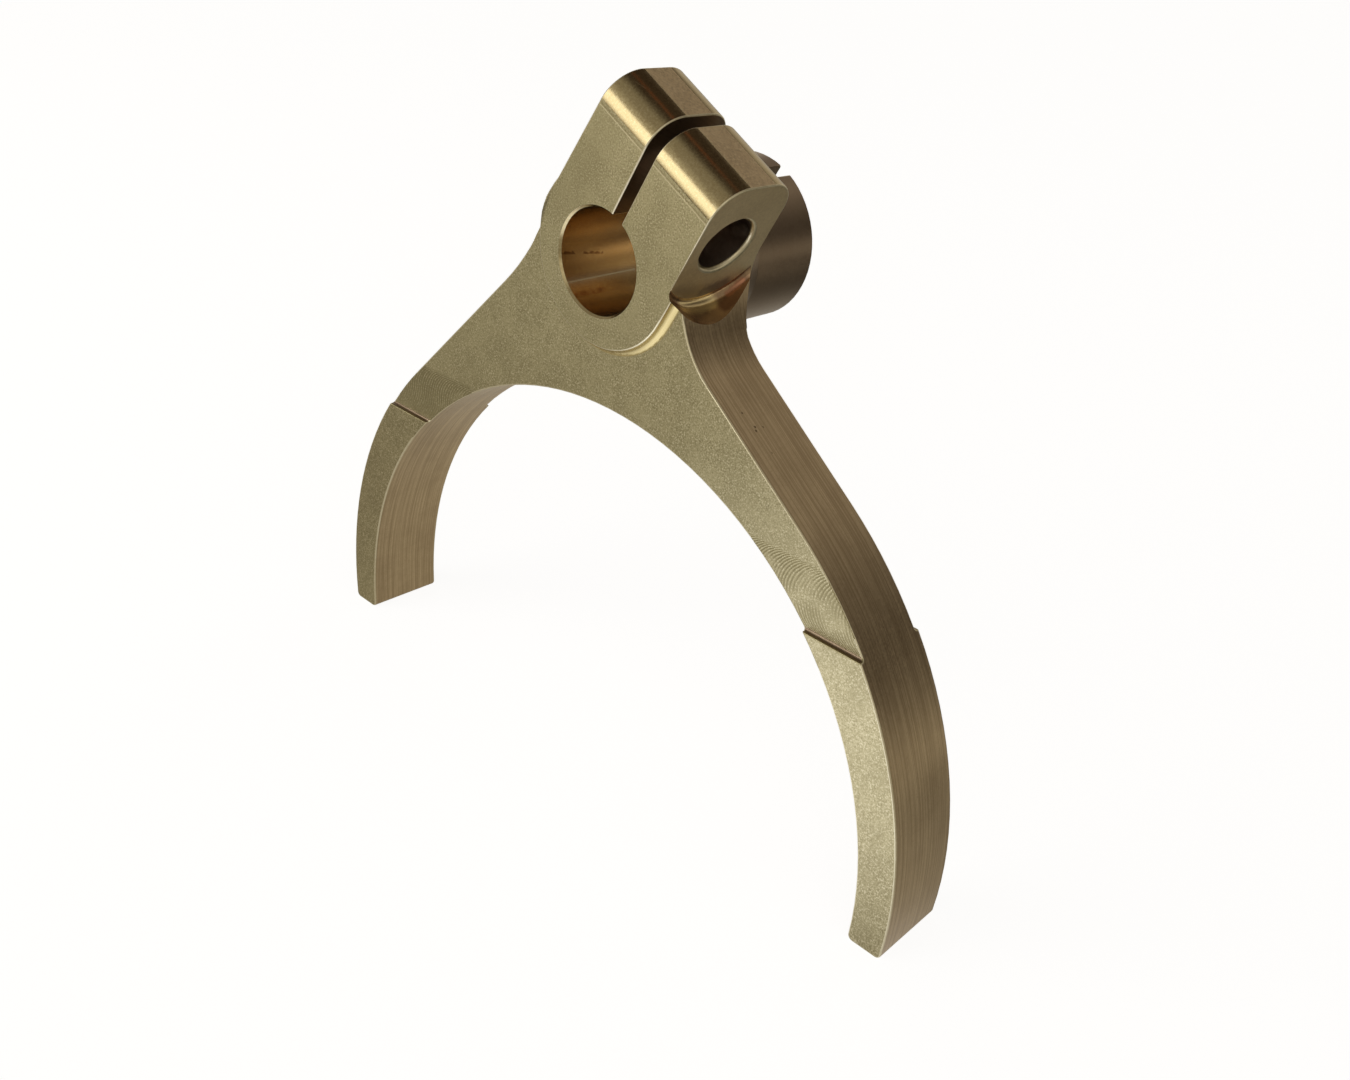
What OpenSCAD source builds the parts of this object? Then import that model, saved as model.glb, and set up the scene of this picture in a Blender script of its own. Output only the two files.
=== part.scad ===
// Transmission shift fork, machined in one piece from brass, in millimetres.
// The origin lies on the axis of the rail bore, in the middle plane of the fork's plate.
// X points to the right arm, Y along the rail towards the boss, Z up, away from the arm tips.

/* [Rail clamp] */
// Diameter of the bore that slides on the shift rail
bore_d = 15; // [13:0.5:16]
// Length of the bore, from the clamp's front face to the end of the boss
bore_len = 31.6; // [24:0.2:40]
// Outside diameter of the boss behind the clamp
boss_d = 25; // [23:0.5:27]
// Lean of the clamp's axis to the right of the fork's axis, in degrees
clamp_tilt = 28; // [25:0.5:31]
// Height of the clamp's flat top over the bore axis
clamp_top = 23.6; // [22:0.2:27]
// Depth of the clamp, front to back
clamp_depth = 14.4; // [13:0.2:17]
// Radius of the rounds along the clamp's top
top_round = 4.8; // [3:0.2:6]
// Distance from the bore axis to the flat flanks, at the height of that axis
flank = 12.4; // [12:0.1:12.8]
// Lean of the left flank towards the slit, in degrees
left_lean = 4; // [0:0.5:5]
// Radius of the round foot of the clamp's raised front
foot_r = 12.9; // [12.6:0.1:13.6]
// Centre of that round foot, to the right of the bore axis
foot_right = 0.4; // [0:0.1:0.8]
// Centre of that round foot, above the bore axis
foot_up = 1.3; // [0:0.1:2]

/* [Pinch bolt] */
// Width of the slit that lets the clamp close
slit_w = 2; // [1.5:0.1:3]
// Middle of the slit, to the right of the bore axis
slit_right = -0.25; // [-0.6:0.05:0.6]
// Height of the pinch bolt over the bore axis
bolt_up = 13.5; // [13:0.1:14.4]
// Bolt axis, in front of the plate's middle plane
bolt_front = 0.5; // [0:0.1:0.8]
// Clearance hole for the bolt in the right ear
bolt_hole_d = 8.5; // [7:0.1:9]
// Core diameter of the tapped hole in the left ear
tap_core_d = 6.8; // [5:0.1:7]
// Diameter of the spotface under the bolt head
spotface_d = 20.8; // [20:0.2:22]
// Corner radius of the spotface cutter
spotface_corner = 1; // [0.6:0.1:1.6]

/* [Fork] */
// Thickness of the plate
plate_t = 11.6; // [10:0.2:12.4]
// Inside diameter of the fork's throat
throat_d = 112; // [108:1:114]
// Distance from the bore axis down to the throat's centre
reach = 77.1; // [75:0.5:80]
// Throat's centre, to the right of the bore axis
throat_right = 1.6; // [0:0.1:3]
// Radius of the arms' outside
rim_r = 61.9; // [61:0.1:63]
// Centre of the arms' outside, above the throat's centre
rim_up = 2.8; // [1:0.1:4]
// Slope of the right arm's straight shoulder, in degrees
right_slope = 37; // [34:0.5:40]
// Slope of the left arm's straight shoulder, in degrees
left_slope = 45.5; // [43:0.5:48]
// Hollow radius between the clamp and the right shoulder
right_hollow = 14.4; // [12:0.2:17]
// Hollow radius between the clamp and the left shoulder
left_hollow = 45; // [30:1:55]

/* [Pads] */
// Height of each pad over the plate, on the front and on the back
pad_proud = 0.75; // [0.3:0.05:1.2]
// Rounded corner that the cutter leaves at the foot of each pad's step
step_round = 0.4; // [0.2:0.05:0.6]
// Top edge of the pads, below the bore axis
pad_top = 38.5; // [36:0.5:42]
// Ends of the arms, below the bore axis
arm_end = 81.6; // [79:0.2:84]
// Rounding of the corners at the arm ends
tip_round = 0.9; // [0.4:0.1:1.4]

/* [Edges] */
// Chamfer at both ends of the bore
bore_chamfer = 0.3; // [0.2:0.05:0.8]
// Chamfer at the mouths of the bolt holes
hole_chamfer = 0.6; // [0.3:0.1:1]
// Hollow radius at the boss's foot, on the back of the plate
boss_foot = 7.4; // [2:0.2:8]
// Hollow radius at the boss's foot, on the back of the clamp
ear_foot = 5.4; // [2:0.2:6]

/* [Hidden] */
$fn = 96;
BRASS = [0.60, 0.53, 0.36];

// How far a cutter runs past the face that it cuts
over = 1;
// How far an added solid is sunk into the one that carries it
sink = 1;
// How far a blended surface dips into the face that it runs into
bite = 0.05;
// How far the right hollow runs behind the flank, where the spotface trims it
hollow_inset = 0.9;

// Half depths, measured from the plate's middle plane
plate_y = plate_t / 2;
pad_y = plate_y + pad_proud;
clamp_y = clamp_depth / 2;
boss_y = bore_len - clamp_y;
step_h = clamp_y - plate_y;

// Radii
bore_r = bore_d / 2;
boss_r = boss_d / 2;
throat_r = throat_d / 2;
bolt_r = bolt_hole_d / 2;
tap_r = tap_core_d / 2;
spotface_r = spotface_d / 2;

// The clamp's own axes in the fork's plane, and the outward normals of the two shoulders
across = [cos(clamp_tilt), -sin(clamp_tilt)];
along = [sin(clamp_tilt), cos(clamp_tilt)];
right_out = [sin(right_slope), cos(right_slope)];
left_out = [-sin(left_slope), cos(left_slope)];

// Point where the lines n1 * p = d1 and n2 * p = d2 cross
function cross_point(n1, d1, n2, d2) =
    [d1 * n2[1] - d2 * n1[1], n1[0] * d2 - n2[0] * d1] / (n1[0] * n2[1] - n1[1] * n2[0]);
// Place on a circle at height z, on the right (side 1) or on the left (side -1)
function on_circle(c, r, z, side) = [c[0] + side * sqrt(r * r - (z - c[1]) * (z - c[1])), z];
// Vector of length 1 in the direction of v
function unit(v) = v / norm(v);

// Outline of the arms: circle centres, and the points where arcs and straight shoulders meet
throat_c = [throat_right, -reach];
rim_c = throat_c + [0, rim_up];
right_start = rim_c + rim_r * right_out;
left_start = rim_c + rim_r * left_out;
right_hollow_c = cross_point(across, flank - hollow_inset + right_hollow,
                             right_out, right_out * rim_c + rim_r + right_hollow);
left_hollow_c = cross_point(-across, flank + left_hollow,
                            left_out, left_out * rim_c + rim_r + left_hollow);
right_end = right_hollow_c - right_hollow * right_out;
left_end = left_hollow_c - left_hollow * left_out;
right_neck = right_hollow_c - right_hollow * across;
left_neck = left_hollow_c + left_hollow * across;
left_neck_top = max(left_neck * along + sink, 0) * along - flank * across;

// Outline of the clamp, in its own axes
function left_flank(z) = z * tan(left_lean) - flank;
foot_c = [foot_right, foot_up];
strip_top = bolt_up - bolt_r;

// Size of a block that is sure to hold the whole part
far = 2 * (reach + rim_r);

// Flat shape (x, z) given depth from y0 to y1
module through_y(y0, y1) {
    translate([0, y1, 0]) rotate([90, 0, 0]) linear_extrude(y1 - y0) children();
}

// Flat shape (y, z) given width from x0 to x1
module through_x(x0, x1) {
    translate([x0, 0, 0]) rotate([90, 0, 90]) linear_extrude(x1 - x0) children();
}

// Solid of revolution turned to stand on a plane y = const, its axis pointing to the back
module turned_back(y) {
    translate([0, y, 0]) rotate([-90, 0, 0]) rotate_extrude() children();
}

// Corner of an arm end that is cut away to leave a round with its centre at c
module tip_corner(c, side_out) {
    reach_out = 2 * tip_round;
    down = [0, -1];
    difference() {
        polygon([c, c + reach_out * down, c + reach_out * (down + side_out), c + reach_out * side_out]);
        translate(c) circle(r = tip_round);
    }
}

// The four rounded corners of the arm ends
module tip_corners() {
    z = tip_round - arm_end;
    for (side = [-1, 1]) {
        outer = on_circle(rim_c, rim_r - tip_round, z, side);
        inner = on_circle(throat_c, throat_r + tip_round, z, side);
        tip_corner(outer, unit(outer - rim_c));
        tip_corner(inner, unit(throat_c - inner));
    }
}

// Neck and straight shoulders, hollowed where they run into the clamp
module shoulders() {
    difference() {
        polygon([rim_c, right_start, right_end, right_hollow_c, right_neck, [0, 0],
                 left_neck_top, left_neck, left_hollow_c, left_end, left_start]);
        translate(right_hollow_c) circle(r = right_hollow);
        translate(left_hollow_c) circle(r = left_hollow);
    }
}

// Whole outline of the plate
module fork_outline() {
    difference() {
        union() {
            translate(rim_c) circle(r = rim_r);
            shoulders();
        }
        translate(throat_c) circle(r = throat_r);
        translate([-far / 2, -arm_end - far]) square([far, far]);
        tip_corners();
    }
}

// What is cut from the back of the plate above the pads, down to a step with a rounded corner
module step_cut() {
    through_x(-far / 2, far / 2) {
        translate([plate_y + step_round, -pad_top]) square(far);
        translate([plate_y, step_round - pad_top]) square([step_round, far]);
        intersection() {
            translate([plate_y + step_round, step_round - pad_top]) circle(r = step_round);
            translate([plate_y, -pad_top]) square(step_round);
        }
    }
}

// Plate and arms, thinned above the pads that run in the sleeve's groove
module fork_body() {
    difference() {
        through_y(-pad_y, pad_y) fork_outline();
        step_cut();
        mirror([0, 1, 0]) step_cut();
    }
}

// Upright block of the clamp, in the clamp's own axes
module ear_outline() {
    polygon([[flank, 0], [flank, clamp_top], [left_flank(clamp_top), clamp_top], [left_flank(0), 0]]);
}

// Raised front of the clamp: the block with its round foot and the strip below the spotface
module clamp_outline() {
    ear_outline();
    translate(foot_c) circle(r = foot_r);
    translate(foot_c) square([foot_r, strip_top - foot_up]);
}

// Left half of the round foot, which stands out from the flank and runs through to the back
module left_foot() {
    intersection() {
        translate(foot_c) circle(r = foot_r);
        translate([-far, -far / 2]) square(far);
    }
}

// Section of the clamp from front to back, with both top edges rounded
module clamp_section() {
    inner_y = clamp_y - top_round;
    difference() {
        translate([-clamp_y, -far]) square([clamp_depth, far + clamp_top]);
        for (side = [-1, 1]) difference() {
            translate([side * (inner_y + far / 2), clamp_top - top_round + far / 2]) square(far, center = true);
            translate([side * inner_y, clamp_top - top_round]) circle(r = top_round);
        }
    }
}

// Hollow corner between a wall of radius r and the plate, h high and wide
module hollow_profile(r, h) {
    difference() {
        translate([r - sink, -sink]) square(h - bite + sink);
        translate([r + h - bite, h - bite]) circle(r = h);
    }
}

// Block of the clamp
module clamp_block() {
    intersection() {
        union() {
            through_y(-clamp_y, sink) clamp_outline();
            through_y(-plate_y, clamp_y) {
                ear_outline();
                left_foot();
            }
        }
        through_x(-far, far) clamp_section();
    }
}

// Boss behind the clamp, with its end chamfered
module boss() {
    turned_back(0) polygon([[0, plate_y - sink], [boss_r, plate_y - sink], [boss_r, boss_y - bore_chamfer],
                            [boss_r - bore_chamfer, boss_y], [0, boss_y]]);
}

// Hollow round the raised front's foot
module front_hollow() {
    translate([foot_right, -plate_y, foot_up]) {
        rotate([90, 0, 0]) rotate_extrude() hollow_profile(foot_r, step_h);
        mirror([0, 1, 0]) linear_extrude(strip_top - foot_up) hollow_profile(foot_r, step_h);
    }
}

// Hollow round the boss's foot, on the plate
module back_hollow() {
    turned_back(plate_y) hollow_profile(boss_r, boss_foot);
}

// The same foot higher up, on the back of the clamp
module ear_hollow() {
    intersection() {
        turned_back(clamp_y) hollow_profile(boss_r, ear_foot);
        through_y(0, boss_y) ear_outline();
    }
}

// Rail bore with both mouths chamfered
module bore_cut() {
    wide = bore_r + bore_chamfer;
    turned_back(0) polygon([[0, -clamp_y - over], [wide + over, -clamp_y - over],
                            [bore_r, bore_chamfer - clamp_y], [bore_r, boss_y - bore_chamfer],
                            [wide + over, boss_y + over], [0, boss_y + over]]);
}

// Slit from the bore to the clamp's top, through the boss too
module slit_cut() {
    translate([slit_right - slit_w / 2, -clamp_y - over, 0]) cube([slit_w, bore_len + 2 * over, clamp_top + over]);
}

// Drilled hole along x from the slit outwards, with its mouth chamfered at the face x = face
module bolt_hole(r, face) {
    mouth = r + hole_chamfer;
    rotate([0, 90, 0]) rotate_extrude() polygon([[0, 0], [r, 0], [r, face - hole_chamfer],
                                                 [mouth + over, face + over], [0, face + over]]);
}

// Spotface for the bolt head, with the cutter's rounded corner
module spotface_cut() {
    flat_r = spotface_r - spotface_corner;
    rotate([0, 90, 0]) rotate_extrude() {
        square([flat_r, far]);
        translate([0, spotface_corner]) square([spotface_r, far - spotface_corner]);
        intersection() {
            translate([flat_r, spotface_corner]) circle(r = spotface_corner);
            translate([flat_r, 0]) square(spotface_corner);
        }
    }
}

// Everything that is cut from the clamp
module clamp_cuts() {
    bore_cut();
    slit_cut();
    translate([0, -bolt_front, bolt_up]) {
        bolt_hole(bolt_r, flank);
        mirror([1, 0, 0]) bolt_hole(tap_r, -left_flank(bolt_up));
        translate([flank, 0, 0]) spotface_cut();
    }
}

module shift_fork() {
    color(BRASS) difference() {
        union() {
            fork_body();
            rotate([0, clamp_tilt, 0]) {
                clamp_block();
                boss();
                ear_hollow();
            }
            intersection() {
                rotate([0, clamp_tilt, 0]) {
                    front_hollow();
                    back_hollow();
                }
                through_y(-far, far) fork_outline();
            }
        }
        rotate([0, clamp_tilt, 0]) clamp_cuts();
    }
}

shift_fork();
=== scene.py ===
"""Looks of a brass transmission shift fork: finishes, tool marks, edge breaks, studio and camera."""

import logging
import math
from collections import Counter, defaultdict
from dataclasses import dataclass, field
from enum import Enum

import bmesh
import bpy
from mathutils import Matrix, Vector
from mathutils.bvhtree import BVHTree


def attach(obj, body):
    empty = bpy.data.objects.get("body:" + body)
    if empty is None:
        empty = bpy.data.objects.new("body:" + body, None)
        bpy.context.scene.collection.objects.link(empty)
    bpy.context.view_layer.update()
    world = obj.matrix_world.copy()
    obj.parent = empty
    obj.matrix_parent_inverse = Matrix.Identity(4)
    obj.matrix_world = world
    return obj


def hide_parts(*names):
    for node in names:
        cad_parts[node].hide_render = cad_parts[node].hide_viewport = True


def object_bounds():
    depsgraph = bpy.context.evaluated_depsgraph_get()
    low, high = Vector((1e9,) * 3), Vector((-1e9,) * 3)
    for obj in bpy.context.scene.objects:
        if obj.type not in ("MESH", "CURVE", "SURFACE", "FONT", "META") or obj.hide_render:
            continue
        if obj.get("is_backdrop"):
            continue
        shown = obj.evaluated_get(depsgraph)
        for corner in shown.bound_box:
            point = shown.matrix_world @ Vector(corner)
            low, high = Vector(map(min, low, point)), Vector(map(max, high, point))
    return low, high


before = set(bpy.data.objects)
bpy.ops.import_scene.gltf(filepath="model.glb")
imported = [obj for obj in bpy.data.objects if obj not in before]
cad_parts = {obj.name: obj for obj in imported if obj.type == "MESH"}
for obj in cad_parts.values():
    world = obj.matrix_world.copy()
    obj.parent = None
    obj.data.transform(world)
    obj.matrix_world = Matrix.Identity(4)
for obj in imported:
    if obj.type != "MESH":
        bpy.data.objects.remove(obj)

LOG = logging.getLogger("shift_fork")
NODE = "shift_fork"
MM = 0.001
TOUCH = 1e-7
SLIVER = 2e-5

Colour = tuple[float, float, float]
Point = tuple[float, float, float]
Socket = bpy.types.NodeSocket
Value = float | Colour | Point | Socket


class Mark(Enum):
    """What a tool leaves on a surface."""

    SATIN = "satin face with end mill arcs along the pads' steps"
    EDGE_LINES = "lines that run along the arms' sides"
    RAIL_RINGS = "turned rings round the rail's axis"
    BOLT_RINGS = "turned rings round the bolt's axis"
    LENGTHWAYS = "fine lines along the clamp's top"
    SAWN = "coarse strokes of a slitting saw"


@dataclass(frozen=True)
class Finish:
    """One finish of the brass.

    Attributes:
        name: Name of the material.
        mark: Marks of the tool that made the surface.
        base: Colour of the clean metal.
        deep: Colour of its darker clouds.
        pale: Colour of its light specks.
        cloud: How much of the darker clouds shows.
        speck: How much of the specks shows.
        rough: Roughness of the smoothest and of the roughest spots.
        grain: Size of the grain, in millimetres.
        grain_depth: Depth of the grain, in millimetres.
        pitch: Distance between tool marks, in millimetres.
        mark_depth: Depth of the tool marks, in millimetres.
        mark_tone: How much the tool marks darken the colour.
    """

    name: str
    mark: Mark
    base: Colour
    deep: Colour
    pale: Colour
    cloud: float
    speck: float
    rough: tuple[float, float]
    grain: float
    grain_depth: float
    pitch: float
    mark_depth: float
    mark_tone: float


FACE = Finish("brass_face", Mark.SATIN, (0.475, 0.412, 0.234), (0.290, 0.245, 0.126), (0.685, 0.612, 0.396),
              cloud=0.45, speck=1.00, rough=(0.36, 0.46), grain=0.24,
              grain_depth=0.0066, pitch=0.55, mark_depth=0.026, mark_tone=1.0)
FLANK = Finish("brass_flank", Mark.BOLT_RINGS, (0.76, 0.635, 0.40), (0.61, 0.495, 0.30), (0.85, 0.73, 0.49),
               cloud=0.50, speck=0.50, rough=(0.46, 0.56), grain=0.36,
               grain_depth=0.005, pitch=0.30, mark_depth=0.001, mark_tone=0.10)
SIDE = Finish("brass_side", Mark.EDGE_LINES, (0.66, 0.52, 0.325), (0.36, 0.26, 0.15), (0.74, 0.61, 0.41),
              cloud=0.35, speck=0.25, rough=(0.30, 0.44), grain=0.30,
              grain_depth=0.003, pitch=0.25, mark_depth=0.006, mark_tone=0.65)
TOP = Finish("brass_top", Mark.SATIN, (0.86, 0.71, 0.48), (0.68, 0.54, 0.35), (0.94, 0.82, 0.60),
             cloud=0.50, speck=0.85, rough=(0.66, 0.78), grain=0.40,
             grain_depth=0.008, pitch=0.55, mark_depth=0.0, mark_tone=0.0)
ROUND = Finish("brass_round", Mark.LENGTHWAYS, (0.51, 0.42, 0.23), (0.40, 0.31, 0.16), (0.62, 0.53, 0.32),
               cloud=0.30, speck=0.60, rough=(0.18, 0.26), grain=0.30,
               grain_depth=0.0025, pitch=0.40, mark_depth=0.001, mark_tone=0.20)
BORE = Finish("brass_bore", Mark.RAIL_RINGS, (0.73, 0.57, 0.36), (0.55, 0.39, 0.20), (0.79, 0.64, 0.42),
              cloud=0.40, speck=0.20, rough=(0.20, 0.26), grain=0.35,
              grain_depth=0.0004, pitch=0.16, mark_depth=0.0006, mark_tone=0.15)
BOSS = Finish("brass_boss", Mark.RAIL_RINGS, (0.345, 0.258, 0.177), (0.28, 0.202, 0.132), (0.41, 0.32, 0.225),
              cloud=0.35, speck=0.25, rough=(0.30, 0.38), grain=0.35,
              grain_depth=0.002, pitch=0.22, mark_depth=0.002, mark_tone=0.20)
HOLLOW = Finish("brass_hollow", Mark.EDGE_LINES, (0.64, 0.52, 0.245), (0.48, 0.37, 0.15), (0.72, 0.61, 0.34),
                cloud=0.30, speck=0.25, rough=(0.20, 0.28), grain=0.30,
                grain_depth=0.001, pitch=0.30, mark_depth=0.003, mark_tone=0.50)
SEAT = Finish("brass_seat", Mark.BOLT_RINGS, (0.49, 0.335, 0.195), (0.28, 0.18, 0.105), (0.57, 0.41, 0.25),
              cloud=0.55, speck=0.25, rough=(0.18, 0.26), grain=0.32,
              grain_depth=0.001, pitch=0.45, mark_depth=0.003, mark_tone=0.40)
# the slit's sawn finish; the pads' steps take it too, as painted shade
SLIT_AND_STEP_SHADE = Finish("brass_slit_and_step_shade", Mark.SAWN, (0.35, 0.265, 0.18), (0.24, 0.17, 0.11), (0.41, 0.32, 0.215),
              cloud=0.45, speck=0.25, rough=(0.34, 0.46), grain=0.35,
              grain_depth=0.003, pitch=0.30, mark_depth=0.004, mark_tone=0.40)
DRILL = Finish("brass_drilled", Mark.BOLT_RINGS, (0.46, 0.385, 0.33), (0.33, 0.26, 0.21), (0.52, 0.45, 0.39),
               cloud=0.40, speck=0.20, rough=(0.28, 0.36), grain=0.35,
               grain_depth=0.001, pitch=0.40, mark_depth=0.001, mark_tone=0.20)
THREAD = Finish("brass_thread", Mark.BOLT_RINGS, (0.46, 0.38, 0.25), (0.34, 0.26, 0.16), (0.54, 0.45, 0.30),
                cloud=0.30, speck=0.20, rough=(0.28, 0.36), grain=0.35,
                grain_depth=0.001, pitch=0.40, mark_depth=0.001, mark_tone=0.15)
EDGE = Finish("brass_edge", Mark.SATIN, (0.80, 0.72, 0.50), (0.66, 0.58, 0.37), (0.88, 0.81, 0.60),
              cloud=0.30, speck=0.50, rough=(0.30, 0.40), grain=0.40,
              grain_depth=0.001, pitch=0.55, mark_depth=0.0, mark_tone=0.0)
FINISHES = (FACE, FLANK, SIDE, TOP, ROUND, HOLLOW, BORE, BOSS, SEAT, SLIT_AND_STEP_SHADE, DRILL, THREAD, EDGE)


def slot_of(finish: Finish) -> int:
    """Number of a finish among the fork's materials."""
    return FINISHES.index(finish)


class Graph:
    """Short calls that add nodes to one shader tree and link them."""

    def __init__(self, tree: bpy.types.NodeTree) -> None:
        """Takes the tree that the nodes go into."""
        self.tree = tree

    def put(self, socket: Socket, value: Value) -> None:
        """Links a socket to an output, or sets its value.

        Args:
            socket: The input to feed.
            value: An output socket, a number, or a colour or vector.
        """
        if isinstance(value, bpy.types.NodeSocket):
            self.tree.links.new(value, socket)
        elif isinstance(value, tuple) and socket.type == "RGBA" and len(value) == 3:
            socket.default_value = (*value, 1.0)
        else:
            socket.default_value = value

    def node(self, kind: str, inputs: dict[str | int, Value] | None = None,
             **settings: str | bool | bpy.types.NodeTree) -> bpy.types.Node:
        """Adds a node.

        Args:
            kind: Blender's name for the node type.
            inputs: Values or links of its inputs, by name or number.
            **settings: Properties of the node.

        Returns:
            The new node.
        """
        made = self.tree.nodes.new(kind)
        for name, value in settings.items():
            setattr(made, name, value)
        for key, value in (inputs or {}).items():
            self.put(made.inputs[key], value)
        return made

    def math(self, operation: str, a: Value, b: Value = 0.0, c: Value = 0.0, clamp: bool = False) -> Socket:
        """Output of a Math node with the inputs a, b and c."""
        return self.node("ShaderNodeMath", {0: a, 1: b, 2: c}, operation=operation, use_clamp=clamp).outputs[0]

    def vector(self, operation: str, a: Value, b: Value) -> Socket:
        """Vector that a Vector Math node makes of a and b."""
        return self.node("ShaderNodeVectorMath", {0: a, 1: b}, operation=operation).outputs["Vector"]

    def measure(self, operation: str, a: Value, b: Value) -> Socket:
        """Number that a Vector Math node makes of a and b."""
        return self.node("ShaderNodeVectorMath", {0: a, 1: b}, operation=operation).outputs["Value"]

    def dot(self, vector: Socket, direction: Point) -> Socket:
        """How far a vector reaches along a direction."""
        return self.measure("DOT_PRODUCT", vector, direction)

    def scaled(self, vector: Value, scale: Value) -> Socket:
        """A vector times a number."""
        made = self.node("ShaderNodeVectorMath", {0: vector, "Scale": scale}, operation="SCALE")
        return made.outputs["Vector"]

    def joined(self, x: Value, y: Value, z: Value) -> Socket:
        """A vector from three numbers."""
        return self.node("ShaderNodeCombineXYZ", {0: x, 1: y, 2: z}).outputs[0]

    def step(self, value: Value, low: Value, high: Value, to_low: Value = 0.0, to_high: Value = 1.0) -> Socket:
        """Smooth rise from to_low, at low, to to_high, at high."""
        inputs = {"Value": value, "From Min": low, "From Max": high, "To Min": to_low, "To Max": to_high}
        return self.node("ShaderNodeMapRange", inputs, interpolation_type="SMOOTHSTEP").outputs["Result"]

    def noise(self, vector: Socket, scale: Value, detail: float = 2.0, roughness: float = 0.5) -> Socket:
        """Value of a noise texture at a vector."""
        inputs = {"Vector": vector, "Scale": scale, "Detail": detail, "Roughness": roughness}
        return self.node("ShaderNodeTexNoise", inputs).outputs["Fac"]

    def mix(self, factor: Value, a: Value, b: Value, blend: str = "MIX") -> Socket:
        """Colour between a and b."""
        made = self.node("ShaderNodeMix", data_type="RGBA", blend_type=blend)
        for name, value in (("Factor_Float", factor), ("A_Color", a), ("B_Color", b)):
            self.put(next(s for s in made.inputs if s.identifier == name), value)
        return next(s for s in made.outputs if s.identifier == "Result_Color")


class Effect:
    """A shader node group that several finishes share."""

    def __init__(self, name: str, inputs: dict[str, str], outputs: dict[str, str]) -> None:
        """Makes an empty group.

        Args:
            name: Name of the group.
            inputs: Socket kind for each input's name.
            outputs: Socket kind for each output's name.
        """
        self.tree = bpy.data.node_groups.new(name, "ShaderNodeTree")
        for direction, sockets in (("INPUT", inputs), ("OUTPUT", outputs)):
            for label, kind in sockets.items():
                self.tree.interface.new_socket(label, in_out=direction, socket_type=f"NodeSocket{kind}")
        self.graph = Graph(self.tree)
        self.given = self.graph.node("NodeGroupInput").outputs
        self.result = self.graph.node("NodeGroupOutput").inputs

    def give(self, name: str, value: Value) -> None:
        """Feeds an output of the group."""
        self.graph.put(self.result[name], value)

    def use(self, graph: Graph, inputs: dict[str, Value]) -> bpy.types.bpy_prop_collection:
        """Places the group in a material.

        Args:
            graph: The material's graph.
            inputs: Values or links of the group's inputs.

        Returns:
            The outputs of the placed group.
        """
        placed = graph.node("ShaderNodeGroup", node_tree=self.tree)
        for name, value in inputs.items():
            graph.put(placed.inputs[name], value)
        return placed.outputs


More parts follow.
